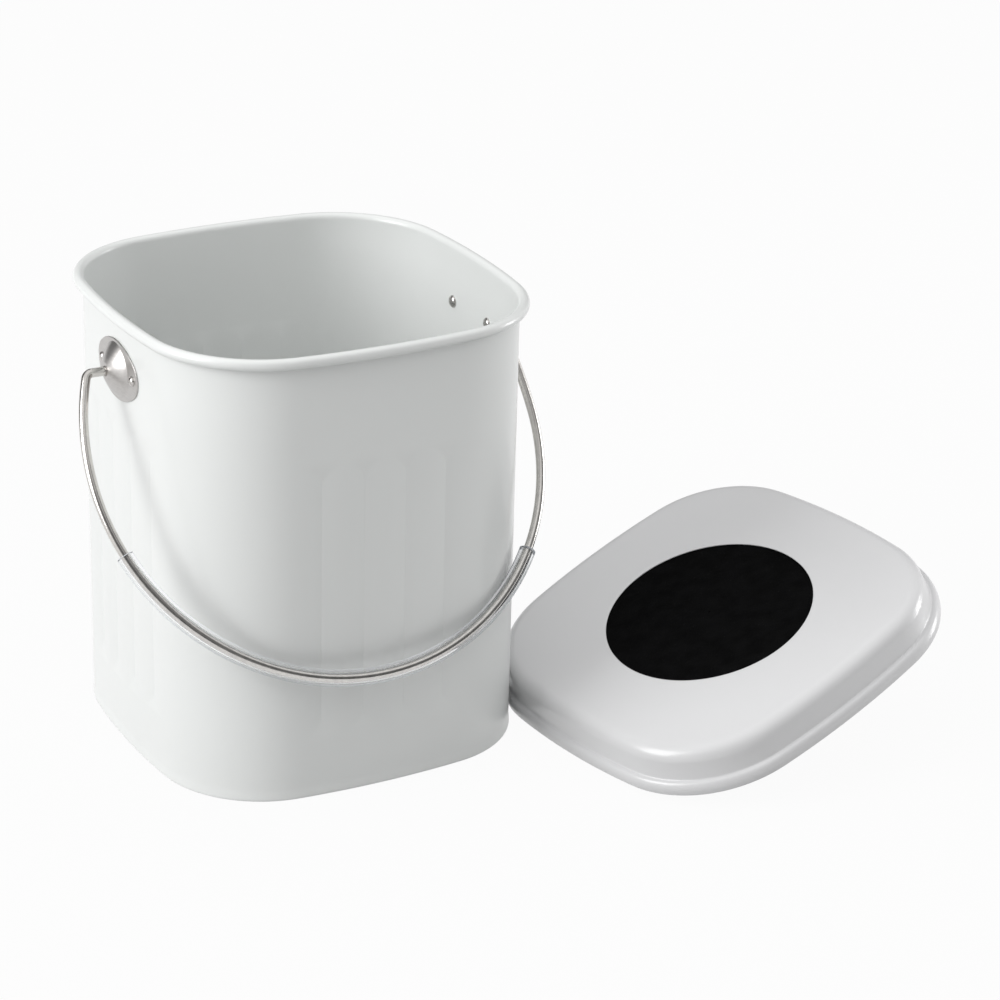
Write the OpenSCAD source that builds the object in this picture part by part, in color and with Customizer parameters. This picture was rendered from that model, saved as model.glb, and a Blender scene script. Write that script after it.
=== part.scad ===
// Kitchen compost caddy: a sheet-steel bucket with a rolled rim and pressed grooves, a wire bail
// in two riveted ears, and a loose stepped lid with a charcoal filter under its round vent.
// Millimetres, +Z up, origin at the middle of the bucket's underside.
// The ears are on the -X and +X faces, and the bail leans on the -Y face.

/* [Bucket] */
// Width across two opposite faces
body_w = 190; // [160:1:220]
// Height to the top of the rolled rim
body_h = 227.5; // [180:0.5:280]
// Distance from the bucket's axis back to the centre that a bowed face is struck from
bow_back = 322; // [250:2:450]
// Distance from the bucket's axis, along X and along Y, to the centre of a rounded corner
corner_at = 38; // [32:1:44]
// Thickness of the sheet steel
sheet = 0.8; // [0.6:0.05:1]
// Outer radius of the rolled rim
rim_r = 2.75; // [2.2:0.05:3.2]
// Height of the crimped seam at the foot of the wall
seam_h = 2; // [1:0.5:5]
// How far the seam stands out from the wall
seam_out = 0.4; // [0.2:0.1:1]
// Height of the base's upright lip inside the wall
lip_h = 6; // [4:0.5:10]
// Outer radius of the turn between the base and its lip
lip_bend = 2; // [1.5:0.1:4]

/* [Grooves] */
// Pressed grooves on each face
groove_count = 4; // [2:1:5]
// Distance from one groove to the next
groove_pitch = 21.7; // [18:0.1:24]
// Height of the grooves' lower ends
groove_low = 31; // [20:1:60]
// Height of the grooves' upper ends
groove_high = 172; // [120:1:180]
// Depth of a groove
groove_depth = 0.7; // [0.3:0.1:1]
// Half the width over which the sheet dips into a groove
groove_reach = 10.8; // [6:0.2:10.8]
// Length over which a groove runs out at each end
groove_fade = 9; // [4:1:14]

/* [Ears] */
// Height of the bail's pivot
ear_h = 197.4; // [150:0.1:205]
// Width of an ear's oval flange, along the wall
ear_w = 48; // [46:0.4:50]
// Height of an ear's oval flange
ear_tall = 29.6; // [29.6:0.4:32]
// Diameter of the foot of an ear's cone
cone_d = 28.8; // [26:0.2:29.2]
// Radius of the cone's slightly domed flank
cone_bow = 30; // [20:1:60]
// Height of an ear above the wall
ear_rise = 6.6; // [6.6:0.1:9]
// Thickness of an ear
ear_sheet = 0.8; // [0.7:0.1:0.8]
// Distance between an ear's two rivets
rivet_gap = 36.6; // [35:0.2:38]
// Diameter of a rivet's outer head
rivet_head = 5; // [4:0.2:5.4]
// Diameter of a rivet's inner head
rivet_inner = 6.4; // [5:0.2:7]

/* [Bail] */
// Diameter of the bail's wire
wire_d = 4.5; // [3.5:0.1:4.8]
// Radius of the bail's lower arc
bail_r = 116.7; // [116:0.1:125]
// Distance along the bail from an arm's centre to the centre of the bend above it
arm_along = 49; // [46:1:56]
// Sideways distance from the left arm's centre to the centre of the bend above it
arm_left = 117.6; // [115:0.1:200]
// Sideways distance from the right arm's centre to the centre of the bend above it
arm_right = 298.125; // [280:0.125:400]
// Radius of the bend between an arm and its stub
bend_r = 4; // [3.5:0.5:6]
// How far the bail has slid sideways in its ears
bail_play = -2.3; // [-2.4:0.1:2.4]
// Clearance between the leaning bail's sleeve and the bucket
bail_gap = 0.35; // [0.3:0.05:1]
// Diameter of the clear sleeve on the wire
sleeve_d = 8.2; // [7:0.1:10]
// Reach of the sleeve from the middle of the bail, to the left, in degrees
sleeve_left = 71.5; // [30:0.5:80]
// Reach of the sleeve from the middle of the bail, to the right, in degrees
sleeve_right = 52.2; // [30:0.1:80]

/* [Lid] */
// Thickness of the lid's sheet
lid_sheet = 0.7; // [0.6:0.05:0.9]
// Clearance between the lid's flange and the rim
lid_clear = 0.3; // [0.3:0.1:1]
// Height of the lid
lid_h = 21.8; // [18:0.2:30]
// Height of the flange that hangs over the rim
flange_h = 6.4; // [5:0.1:9]
// Radius of the lid's rounded shoulder
shoulder_r = 7.5; // [3:0.5:8]
// Diameter of the round vent
vent_d = 107.4; // [80:0.2:110]

/* [Filter] */
// Diameter of the charcoal filter
filter_d = 116.4; // [112:0.2:122]
// Thickness of the charcoal filter
filter_t = 7; // [5:0.5:8]
// Depth of the collar that holds the filter
collar_h = 10; // [8:0.5:12]

/* [Where the lid lies] */
// Lid centre, to the right of the bucket's axis
lid_x = 190.4; // [190.4:0.1:240]
// Lid centre, to the front (negative) of the bucket's axis
lid_y = -95.5; // [-120:0.5:-80]
// Tilt of the lid, its left side on the floor
lid_tilt = 20.5; // [15:0.1:25]
// Direction of the line that the lid is tilted about
tilt_line = -82.8; // [-95:0.1:-75]
// Turn of the lid about its own upright axis
lid_turn = 8.9; // [0:0.1:20]

/* [Hidden] */

paint = [0.90, 0.91, 0.90];
steel = [0.72, 0.71, 0.69];
clear_plastic = [0.80, 0.84, 0.88, 0.4];
charcoal = [0.07, 0.07, 0.075];

half_w = body_w / 2;
face_r = half_w + bow_back;               // plan radius of the slightly bowed faces
corner_r = face_r - norm([corner_at + bow_back, corner_at]);  // the corners blend into the faces
face_angle = atan2(corner_at, corner_at + bow_back);
fine = 240;                               // segments in a full turn of a large radius
small = 40;                               // segments in a full turn of a small radius
play = 0.02;                              // gap between pieces that are fixed together
rim_out = 2 * rim_r - sheet;              // how far the rim stands out from the wall

bail_neck = arm_along + bend_r;           // from the pivot down to the centre of the lower arc
stub_left = stub_x(arm_left);
stub_right = stub_x(arm_right);
stub_middle = (stub_right - stub_left) / 2;
bail_x = bail_play - stub_middle;         // the lower arc bows a little off the stubs' middle
bail_lean = max([for (a = [10 : 2 : 40]) lean_at(a)]);
head_x = half_w + 3;                      // middle of the wire's upset head when it is centred
head_d = 6.4;
head_t = 0.8;
rivet_shank = 3.2;
wire_gap = 0.08;                          // running clearance of the wire in an ear

flange_out = rim_out + lid_clear + lid_sheet;
skirt_out = 1.8;                          // skirt's foot, outward from the bucket's wall
skirt_lean = 1.4;                         // how far the skirt leans in on its way up
lid_z = sin(lid_tilt) * reach(tilt_line - lid_turn - 90, flange_out);

// How far a plan outline, grown by out, reaches in the direction a
function reach(a, out) =
    let (q = abs(((a % 90) + 90) % 90 - 45), near = 45 - q)
    near < face_angle
        ? face_r + out - bow_back * cos(near)
        : corner_at * (cos(near) + sin(near)) + corner_r + out;

// Radius of an arm of the bail that blends into the bend above it
function arm_r(across) = norm([across, arm_along]) + bend_r;

// Distance from the lower arc's middle to the centre of a bend
function stub_x(across) = bail_r - arm_r(across) + across;

// Lean at which the sleeve, at angle a from the bail's middle, just clears the bucket's corner
function lean_at(a) =
    let (
        x = bail_r * sin(a) - abs(bail_x) - corner_at,
        y = corner_at + sqrt(pow(corner_r + sleeve_d / 2 + bail_gap, 2) - x * x)
    )
    asin(y / (bail_neck + bail_r * cos(a)));

// Points of an arc about c, from angle a to angle b
function arc(c, r, a, b, n = 6) =
    [for (i = [0 : n]) let (t = a + (b - a) * i / n) c + r * [cos(t), sin(t)]];

// Unit vector across the path at point i, to the left of its direction
function across(path, i) =
    let (
        last = len(path) - 1,
        d = path[min(i + 1, last)] - path[max(i - 1, 0)]
    )
    [-d[1], d[0]] / norm(d);

// Section of a sheet of thickness t whose left skin follows the path
module strip(path, t) {
    inner = [for (i = [len(path) - 1 : -1 : 0]) path[i] - t * across(path, i)];
    polygon(concat(path, inner));
}

// Turns a section about a centre on the plan
module turned(centre, r) {
    translate([centre[0], centre[1], 0])
        rotate_extrude($fn = fine) translate([r, 0]) children();
}

// Upright block with the given plan, tall enough to hold any section
module block(plan) {
    translate([0, 0, -1]) linear_extrude(body_h + 2) polygon(plan);
}

// Carries a section round the plan outline: x is outward from the bucket's wall, y is up
module around() {
    far = 1.2;
    join = [far * (corner_at + bow_back) - bow_back, far * corner_at];
    for (side = [0 : 3]) rotate(90 * side) {
        intersection() {
            turned([-bow_back, 0], face_r) children();
            block([[-bow_back, 0], [join[0], -join[1]], join]);
        }
        intersection() {
            turned([corner_at, corner_at], corner_r) children();
            block([[corner_at, corner_at], join, [join[0], join[0]], [join[1], join[0]]]);
        }
    }
}

// The whole area inside the plan outline, set in by inset
module plan(inset) {
    tangent = [
        corner_at + (corner_r - inset) * cos(face_angle),
        corner_at + (corner_r - inset) * sin(face_angle),
    ];
    near = half_w + 5;
    rest = tangent[0] + tangent[1] - near;
    intersection() {
        translate([-bow_back, 0]) circle(face_r - inset, $fn = 3 * fine);
        translate([bow_back, 0]) circle(face_r - inset, $fn = 3 * fine);
        translate([0, -bow_back]) circle(face_r - inset, $fn = 3 * fine);
        translate([0, bow_back]) circle(face_r - inset, $fn = 3 * fine);
        polygon([
            [near, -rest], [near, rest], [rest, near], [-rest, near],
            [-near, rest], [-near, -rest], [-rest, -near], [rest, -near],
        ]);
    }
    for (x = [-1, 1], y = [-1, 1]) translate(corner_at * [x, y]) circle(corner_r - inset, $fn = fine);
}

// One groove: two rounded flanks that meet in a crease, running out at both ends
module groove(inset) {
    flank_r = (pow(groove_reach, 2) + pow(groove_depth, 2)) / (2 * groove_depth);
    slope = groove_depth / groove_fade;
    proud = 0.7;
    deep = groove_depth + 0.5;
    intersection() {
        translate([-inset, 0, groove_low - 1]) linear_extrude(groove_high - groove_low + 2)
            difference() {
                translate([-deep, -groove_reach]) square([deep + proud, 2 * groove_reach]);
                for (s = [-1, 1]) translate([-flank_r, s * groove_reach]) circle(flank_r, $fn = fine);
            }
        translate([-inset, groove_reach + 1, 0]) rotate([90, 0, 0]) linear_extrude(2 * groove_reach + 2)
            polygon([
                [2, groove_low - 2 / slope], [2, groove_high + 2 / slope],
                [-deep, groove_high - deep / slope], [-deep, groove_low + deep / slope],
            ]);
    }
}

// All the grooves of the bucket, set inward by inset
module grooves(inset) {
    for (side = [0 : 3], i = [0 : groove_count - 1])
        rotate(90 * side) translate([-bow_back, 0, 0])
            rotate(asin((i - (groove_count - 1) / 2) * groove_pitch / face_r))
                translate([face_r, 0, 0]) groove(inset);
}

// Places its children on an ear's axis, their +Z outward: side is -1 for left, 1 for right
module on_ear(side) {
    translate([side * half_w, 0, ear_h]) rotate([0, 90 * side, 0]) children();
}

// Places its children on the two rivets of an ear, square to the bowed wall
module on_rivets() {
    turn = asin(rivet_gap / 2 / face_r);
    for (s = [-1, 1]) translate([0, 0, -face_r]) rotate([s * turn, 0, 0]) translate([0, 0, face_r])
        children();
}

module bucket_wall() {
    curl_at = body_h - rim_r;
    middle_line = [rim_r - sheet, curl_at];
    color(paint) difference() {
        union() {
            difference() {
                linear_extrude(curl_at) plan(0);
                grooves(0);
                difference() {
                    translate([0, 0, -1]) linear_extrude(curl_at + 2) plan(sheet);
                    grooves(sheet);
                }
            }
            around() polygon(concat(
                arc(middle_line, rim_r, 180, -120, 20),
                arc(middle_line, rim_r - sheet, -120, 180, 20)
            ));
            around() translate([-sheet / 2, 0]) square([sheet / 2 + seam_out, seam_h]);
        }
        for (side = [-1, 1]) on_ear(side) on_rivets()
            translate([0, 0, -4]) cylinder(d = rivet_shank + 2 * play, h = 8, $fn = small);
    }
}

module bucket_base() {
    edge = -sheet - play;
    color(paint) union() {
        linear_extrude(sheet) plan(lip_bend - edge);
        around() strip(concat(
            [[edge - lip_bend - 1, 0]],
            arc([edge - lip_bend, lip_bend], lip_bend, -90, 0, 8),
            [[edge, lip_h]]
        ), -sheet);
    }
}

// An ear's oval outline: its end arcs and side arcs meet on the slope of a 3-4-5 triangle
module ear_plan() {
    step = 1.25 * (ear_w - ear_tall);
    end_r = ear_w / 2 - 0.6 * step;
    far = 20;
    edge = [0.8 * far, 0.6 * (far + step)];
    for (s = [-1, 1]) intersection() {
        translate([0, s * 0.6 * step]) circle(end_r, $fn = 96);
        polygon([[0, s * 0.6 * step], [edge[0], s * edge[1]], [-edge[0], s * edge[1]]]);
    }
    intersection() {
        translate([-0.8 * step, 0]) circle(end_r + step, $fn = fine);
        translate([0.8 * step, 0]) circle(end_r + step, $fn = fine);
        polygon([
            [0, 0.6 * step], edge, [edge[0], -edge[1]],
            [0, -0.6 * step], -edge, [-edge[0], edge[1]],
        ]);
    }
}

// A tube of the wall's own bow, from one height above the wall to another
module bowed(low, high) {
    translate([0, 0, -face_r]) rotate([0, 90, 0]) difference() {
        cylinder(r = face_r + high, h = 2 * ear_tall, center = true, $fn = 3 * fine);
        cylinder(r = face_r + low, h = 2 * ear_tall + 2, center = true, $fn = 3 * fine);
    }
}

module ear() {
    foot = [cone_d / 2, 0.1];
    tip = [wire_d / 2 + 1.8, ear_rise];
    half = norm(tip - foot) / 2;
    centre = (foot + tip) / 2 - sqrt(cone_bow * cone_bow - half * half) * across([tip, foot], 0);
    bore = cone_bow - ear_sheet;
    end = atan2(tip[1] - centre[1], tip[0] - centre[0]);
    color(steel) difference() {
        union() {
            intersection() {
                translate([0, 0, -3]) linear_extrude(6) ear_plan();
                bowed(play, play + ear_sheet);
            }
            rotate_extrude($fn = 96) polygon(concat(
                [[0, foot[1]]],
                arc(centre, cone_bow, asin((foot[1] - centre[1]) / cone_bow), end, 10),
                [[0, ear_rise]]
            ));
        }
        rotate_extrude($fn = 96) polygon(concat(
            [[0, -1]],
            arc(centre, bore, asin((-1 - centre[1]) / bore), end, 10),
            [[0, ear_rise - ear_sheet]]
        ));
        cylinder(r = wire_d / 2 + wire_gap, h = ear_rise + 2, $fn = 64);
        on_rivets() translate([0, 0, -1]) cylinder(d = rivet_shank + 2 * play, h = 4, $fn = small);
    }
}

module ear_left() { on_ear(-1) ear(); }
module ear_right() { on_ear(1) ear(); }

// A domed head of diameter d and height h, its flat side down
module dome(d, h) {
    r = (d * d / 4 + h * h) / (2 * h);
    rotate_extrude($fn = small)
        polygon(concat([[0, 0]], arc([0, h - r], r, 90 - asin(d / 2 / r), 90, 6)));
}

module ear_rivets() {
    color(steel) for (side = [-1, 1]) on_ear(side) on_rivets() {
        translate([0, 0, ear_sheet + 2 * play]) dome(rivet_head, 1.5);
        translate([0, 0, -sheet - 0.3]) cylinder(d = rivet_shank, h = sheet + ear_sheet + 0.6, $fn = small);
        translate([0, 0, -sheet - play]) mirror([0, 0, 1]) dome(rivet_inner, 1.7);
    }
}

// Places its children on the pivot axis, in the plane of the leaning bail: the bail hangs to -Y
module in_bail() {
    translate([bail_x, 0, ear_h]) rotate([90 - bail_lean, 0, 0]) children();
}

// Wire turned about a centre in the bail's plane, kept between two points seen from there
module wire_arc(centre, r, from, to) {
    intersection() {
        translate([centre[0], centre[1], 0])
            rotate_extrude($fn = fine) translate([r, 0]) circle(d = wire_d, $fn = small);
        translate([0, 0, -wire_d]) linear_extrude(2 * wire_d) polygon([centre, centre + from, centre + to]);
    }
}

// An arm, its bend and its stub up to the upset head inside the ear
module bail_arm(across, head_at) {
    blend = [across, arm_along];
    wire_arc([bail_r - arm_r(across), -bail_neck], arm_r(across), [1.2 * arm_r(across), 0], 1.2 * blend);
    wire_arc([stub_x(across), -bend_r], bend_r, blend, [0, 4 * bend_r]);
    translate([head_at, 0, 0]) rotate([0, 90, 0])
        cylinder(d = wire_d, h = stub_x(across) - head_at, $fn = small);
    translate([head_at - head_t / 2, 0, 0]) rotate([0, 90, 0]) cylinder(d = head_d, h = head_t, $fn = small);
}

module bail_wire() {
    color(steel) in_bail() {
        translate([0, -bail_neck, 0]) rotate(180)
            rotate_extrude(angle = 180, $fn = fine) translate([bail_r, 0]) circle(d = wire_d, $fn = small);
        mirror([1, 0, 0]) bail_arm(arm_left, head_x - stub_middle);
        bail_arm(arm_right, head_x + stub_middle);
    }
}

module grip_sleeve() {
    color(clear_plastic) in_bail() translate([0, -bail_neck, 0]) rotate(270 - sleeve_left)
        rotate_extrude(angle = sleeve_left + sleeve_right, $fn = fine) translate([bail_r, 0])
            difference() {
                circle(d = sleeve_d, $fn = small);
                circle(d = wire_d + 0.3, $fn = small);
            }
}

// Places its children where the lid lies: one edge on the floor, the far side raised
module lid_place() {
    translate([lid_x, lid_y, lid_z]) rotate(tilt_line) rotate([lid_tilt, 0, 0])
        rotate(lid_turn - tilt_line) children();
}

module lid_shell() {
    top_x = skirt_out - skirt_lean - shoulder_r;
    color(paint) lid_place() difference() {
        union() {
            around() strip(concat(
                [[flange_out, 0], [flange_out, 1]],
                arc([flange_out - 1.8, flange_h - 1.8], 1.8, 0, 80, 6),
                arc([skirt_out + 1.1, flange_h + 1.1], 1.1, 260, 186, 5),
                arc([top_x, lid_h - shoulder_r], shoulder_r, 6, 90, 8),
                [[top_x - 1, lid_h]]
            ), -lid_sheet);
            translate([0, 0, lid_h - lid_sheet]) linear_extrude(lid_sheet) plan(-top_x);
        }
        translate([0, 0, lid_h - 3]) cylinder(d = vent_d, h = 6, $fn = fine);
    }
}

module filter_collar() {
    r = filter_d / 2 + 0.3;
    color(paint) lid_place() translate([0, 0, lid_h - lid_sheet - play]) mirror([0, 0, 1])
        rotate_extrude($fn = 120) strip(concat(
            [[r + 6, lid_sheet], [r + 1.4, lid_sheet]],
            arc([r + 1.4, 1.4], 0.7, 270, 180, 5),
            [[r + 0.7, collar_h]]
        ), -lid_sheet);
}

module charcoal_filter() {
    color(charcoal) lid_place() translate([0, 0, lid_h - lid_sheet - 0.1]) mirror([0, 0, 1])
        rotate_extrude($fn = 120) polygon(concat(
            [[0, 0]],
            arc([filter_d / 2 - 1.2, 1.2], 1.2, -90, 0, 4),
            arc([filter_d / 2 - 1.2, filter_t - 1.2], 1.2, 0, 90, 4),
            [[0, filter_t]]
        ));
}

bucket_wall();
bucket_base();
ear_left();
ear_right();
ear_rivets();
bail_wire();
grip_sleeve();
lid_shell();
filter_collar();
charcoal_filter();
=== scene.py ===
import math

import bpy
import numpy as np
from mathutils import Matrix


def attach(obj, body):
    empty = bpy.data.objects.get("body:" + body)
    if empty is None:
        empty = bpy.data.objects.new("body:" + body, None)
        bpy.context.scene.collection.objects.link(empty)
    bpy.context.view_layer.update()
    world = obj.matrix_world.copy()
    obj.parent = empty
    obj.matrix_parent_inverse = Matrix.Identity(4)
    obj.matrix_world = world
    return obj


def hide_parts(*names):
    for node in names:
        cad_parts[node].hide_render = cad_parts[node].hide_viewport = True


mm = 0.001

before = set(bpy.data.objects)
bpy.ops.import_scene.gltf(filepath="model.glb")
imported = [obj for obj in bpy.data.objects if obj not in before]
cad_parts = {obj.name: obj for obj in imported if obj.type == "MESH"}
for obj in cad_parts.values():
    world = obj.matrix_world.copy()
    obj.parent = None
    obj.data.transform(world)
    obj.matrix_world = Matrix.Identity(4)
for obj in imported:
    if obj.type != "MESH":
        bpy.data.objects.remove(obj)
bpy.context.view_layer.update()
print("frame loaded:", ", ".join(sorted(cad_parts)))


# Rows and columns of a grid become quads; either way round can be closed on itself.
def gridQuads(rows, columns, closeRows, closeColumns):
    i = np.arange(rows if closeRows else rows - 1)[:, None]
    j = np.arange(columns if closeColumns else columns - 1)[None, :]
    nextRow = (i + 1) % rows
    nextColumn = (j + 1) % columns
    quads = np.stack(
        [i * columns + j, nextRow * columns + j, nextRow * columns + nextColumn, i * columns + nextColumn],
        axis=-1,
    )
    return quads.reshape(-1, 4)


# Six times the volume inside a set of faces: the triple product of the corners of every triangle
# that fans out from a face's first corner, summed.
def signedVolume(points, faces):
    first = points[faces[:, 0]]
    total = 0.0
    for k in range(1, faces.shape[1] - 1):
        total += np.einsum("ij,ij->i", first, np.cross(points[faces[:, k]], points[faces[:, k + 1]])).sum()
    return total


# Points in millimetres and groups of equal-sided faces go into one mesh, every face turned outwards.
def makePiece(name, points, faceGroups, body, replaces, material, crisp=None):
    points = np.asarray(points, float).reshape(-1, 3)
    if sum(signedVolume(points, group) for group in faceGroups) < 0:
        faceGroups = [group[:, ::-1] for group in faceGroups]
    corners = np.concatenate([group.ravel() for group in faceGroups])
    sides = np.concatenate([np.full(len(group), group.shape[1]) for group in faceGroups])
    starts = np.concatenate([[0], np.cumsum(sides)[:-1]])
    mesh = bpy.data.meshes.new(name)
    mesh.vertices.add(len(points))
    mesh.vertices.foreach_set("co", (points * mm).astype(np.float32).ravel())
    mesh.loops.add(len(corners))
    mesh.loops.foreach_set("vertex_index", corners.astype(np.int32))
    mesh.polygons.add(len(sides))
    mesh.polygons.foreach_set("loop_start", starts.astype(np.int32))
    mesh.polygons.foreach_set("loop_total", sides.astype(np.int32))
    mesh.update(calc_edges=True)
    mesh.validate()
    mesh.polygons.foreach_set("use_smooth", np.ones(len(mesh.polygons), bool))
    if crisp:
        mesh.set_sharp_from_angle(angle=math.radians(crisp))
    mesh.materials.append(material)
    piece = bpy.data.objects.new(name, mesh)
    bpy.context.scene.collection.objects.link(piece)
    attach(piece, body)
    if replaces:
        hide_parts(*replaces)
    print("made", name, len(mesh.polygons), "faces")
    return piece


# The first and the last row of an open grid become one face each.
def endFaces(rows, columns):
    return np.stack([np.arange(columns)[::-1], (rows - 1) * columns + np.arange(columns)])


# Points of an arc: centre plus radius times the cosine and sine of evenly spaced angles.
def arc(centre, radius, start, end, count):
    angles = np.radians(np.linspace(start, end, count))
    return np.stack([centre[0] + radius * np.cos(angles), centre[1] + radius * np.sin(angles)], axis=1)


# The same path moved sideways: each point slides along the left normal of its own direction.
def offsetPath(path, distance):
    direction = np.gradient(path, axis=0)
    left = np.stack([-direction[:, 1], direction[:, 0]], axis=1)
    return path + distance * left / np.linalg.norm(left, axis=1)[:, None]


# A straight run of points between two others, ends left out.
def between(a, b, count):
    t = np.linspace(0, 1, count + 2)[1:-1, None]
    return np.asarray(a, float) * (1 - t) + np.asarray(b, float) * t


# A profile of radius and height carried round the Z axis: radius times cosine, radius times sine, height.
def turned(profile, columns):
    profile = np.asarray(profile, float)
    angles = np.linspace(0, 2 * np.pi, columns, endpoint=False)
    radius, height = profile[:, 0:1], profile[:, 1:2]
    return np.stack([radius * np.cos(angles), radius * np.sin(angles), height + 0 * angles], axis=-1)


# A turn about the x or z axis: cosine and sine in the plane square to it.
def turnMatrix(axis, degrees):
    c, s = math.cos(math.radians(degrees)), math.sin(math.radians(degrees))
    if axis == "x":
        return np.array([[1, 0, 0], [0, c, -s], [0, s, c]])
    return np.array([[c, -s, 0], [s, c, 0], [0, 0, 1]])


# bowBack is how far a side's arc has its centre beyond the axis, cornerAt where a corner's arc has its own
outlineShape = {"halfWidth": 95, "bowBack": 322, "cornerAt": 38}
faceRadius = outlineShape["halfWidth"] + outlineShape["bowBack"]
cornerRadius = faceRadius - math.hypot(
    outlineShape["cornerAt"] + outlineShape["bowBack"], outlineShape["cornerAt"]
)
faceTurn = math.atan2(outlineShape["cornerAt"], outlineShape["cornerAt"] + outlineShape["bowBack"])


# A square with bowed sides: every direction of the normal has one point, on the wide arc of a side or on
# the small arc of a corner, at its centre plus its radius times cosine and sine; out widens the radius.
def outline(turns, out):
    quarter = np.floor((turns + np.pi / 4) / (np.pi / 2))
    local = turns - quarter * np.pi / 2
    onFace = np.abs(local) <= faceTurn
    centreX = np.where(onFace, -outlineShape["bowBack"], outlineShape["cornerAt"])
    centreY = np.where(onFace, 0, np.sign(local) * outlineShape["cornerAt"])
    radius = np.where(onFace, faceRadius, cornerRadius) + out
    x = centreX + radius * np.cos(local)
    y = centreY + radius * np.sin(local)
    c, s = np.cos(quarter * np.pi / 2), np.sin(quarter * np.pi / 2)
    return x * c - y * s, x * s + y * c


# Directions round the outline, spaced along each side and each corner, with extra ones at given places.
def outlineTurns(perSide, perCorner, extra=()):
    side = np.unique(np.round(np.concatenate([np.linspace(-faceTurn, faceTurn, perSide), extra]), 7))
    corner = np.linspace(faceTurn, np.pi / 2 - faceTurn, perCorner + 2)[1:-1]
    quarter = np.concatenate([side, corner])
    return np.concatenate([quarter + k * np.pi / 2 for k in range(4)])


def newMaterial(name):
    material = bpy.data.materials.new(name)
    material.use_nodes = True
    nodes = material.node_tree.nodes
    shader = nodes["Principled BSDF"]
    return material, nodes, material.node_tree.links, shader


def addNode(nodes, kind, **values):
    node = nodes.new(kind)
    for name, value in values.items():
        if name in node.inputs:
            node.inputs[name].default_value = value
        else:
            setattr(node, name, value)
    return node


# Noise on the piece's own coordinates, stretched by a scale for each axis.
def noiseOn(nodes, links, scale, detail=3.0, roughness=0.5, stretch=(1, 1, 1)):
    where = addNode(nodes, "ShaderNodeTexCoord")
    mapping = addNode(nodes, "ShaderNodeMapping", Scale=stretch)
    noise = addNode(nodes, "ShaderNodeTexNoise", Scale=scale, Detail=detail, Roughness=roughness)
    links.new(where.outputs["Object"], mapping.inputs["Vector"])
    links.new(mapping.outputs["Vector"], noise.inputs["Vector"])
    return noise


# A value's middle part, where noise mostly lies, stretched to run from low to high.
def spread(nodes, links, source, low, high, start=0.3, end=0.7, **ways):
    span = addNode(nodes, "ShaderNodeMapRange", **ways)
    for name, value in {"From Min": start, "From Max": end, "To Min": low, "To Max": high}.items():
        span.inputs[name].default_value = value
    links.new(source, span.inputs["Value"])
    return span.outputs["Result"]


# Two values, each a number or another node's output, put through one operation.
def combine(nodes, links, operation, first, second):
    node = addNode(nodes, "ShaderNodeMath", operation=operation)
    for place, value in enumerate((first, second)):
        if isinstance(value, (int, float)):
            node.inputs[place].default_value = value
        else:
            links.new(value, node.inputs[place])
    return node.outputs[0]


# The second shader where the share is one, the first where it is nothing.
def mixShaders(nodes, links, share, first, second):
    mix = addNode(nodes, "ShaderNodeMixShader")
    for place, output in enumerate((share, first, second)):
        links.new(output, mix.inputs[place])
    return mix.outputs[0]


# One colour up to the low share of a value, the other from the high share, blended between.
def blendColours(nodes, links, source, first, second, low=0.35, high=0.65):
    ramp = addNode(nodes, "ShaderNodeValToRGB")
    ramp.color_ramp.elements[0].position = low
    ramp.color_ramp.elements[0].color = first
    ramp.color_ramp.elements[1].position = high
    ramp.color_ramp.elements[1].color = second
    links.new(source, ramp.inputs["Fac"])
    return ramp.outputs["Color"]


# A height turned into a change of the normal, on top of an earlier one if there is one.
def bumpFrom(nodes, links, source, strength, distance, before=None):
    bump = addNode(nodes, "ShaderNodeBump", Strength=strength, Distance=distance)
    links.new(source, bump.inputs["Height"])
    if before:
        links.new(before, bump.inputs["Normal"])
    return bump.outputs["Normal"]


coatValues = {
    "bucket": {"pale": (0.785, 0.80, 0.79, 1), "deep": (0.765, 0.78, 0.77, 1)},
    # the lid's colours are the bucket's powder coat made darker: painted shade on the lid
    "lid": {"pale": (0.68, 0.68, 0.687, 1), "deep": (0.66, 0.66, 0.667, 1)},
    "rough": (0.28, 0.34), "cloudScale": 9, "peelScale": 420, "peelStrength": 0.25, "peelHeight": 0.00003,
    "clearCoat": 0.35, "clearRough": 0.16,
}


# Powder coat: almost even colour, a faint orange peel and a soft clear top.
def makeCoat(name, pale, deep):
    material, nodes, links, shader = newMaterial(name)
    v = coatValues
    cloud = noiseOn(nodes, links, v["cloudScale"], detail=2).outputs["Fac"]
    peel = noiseOn(nodes, links, v["peelScale"], detail=2).outputs["Fac"]
    bump = bumpFrom(nodes, links, peel, v["peelStrength"], v["peelHeight"])
    links.new(blendColours(nodes, links, cloud, deep, pale), shader.inputs["Base Color"])
    links.new(spread(nodes, links, cloud, *v["rough"]), shader.inputs["Roughness"])
    links.new(bump, shader.inputs["Normal"])
    shader.inputs["Coat Weight"].default_value = v["clearCoat"]
    shader.inputs["Coat Roughness"].default_value = v["clearRough"]
    return material


steelValues = {
    "wire": {"scale": 260, "stretch": (1, 1, 1), "rough": (0.13, 0.2),
             "dull": (0.58, 0.56, 0.54, 1), "bright": (0.66, 0.64, 0.61, 1)},
    # the ear's colours are the same steel made darker than the wire's: painted darker reflection on the
    # flange and boss
    "ear": {"scale": 1300, "stretch": (1, 0.12, 1), "rough": (0.31, 0.37),
            "dull": (0.50, 0.485, 0.475, 1), "bright": (0.56, 0.545, 0.53, 1)},
    "rivet": {"scale": 700, "stretch": (1, 1, 1), "rough": (0.16, 0.24),
              "dull": (0.52, 0.50, 0.485, 1), "bright": (0.62, 0.60, 0.58, 1)},
}
lineStrength, lineHeight = 0.08, 0.00001  # of the brushed lines in every steel


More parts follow.
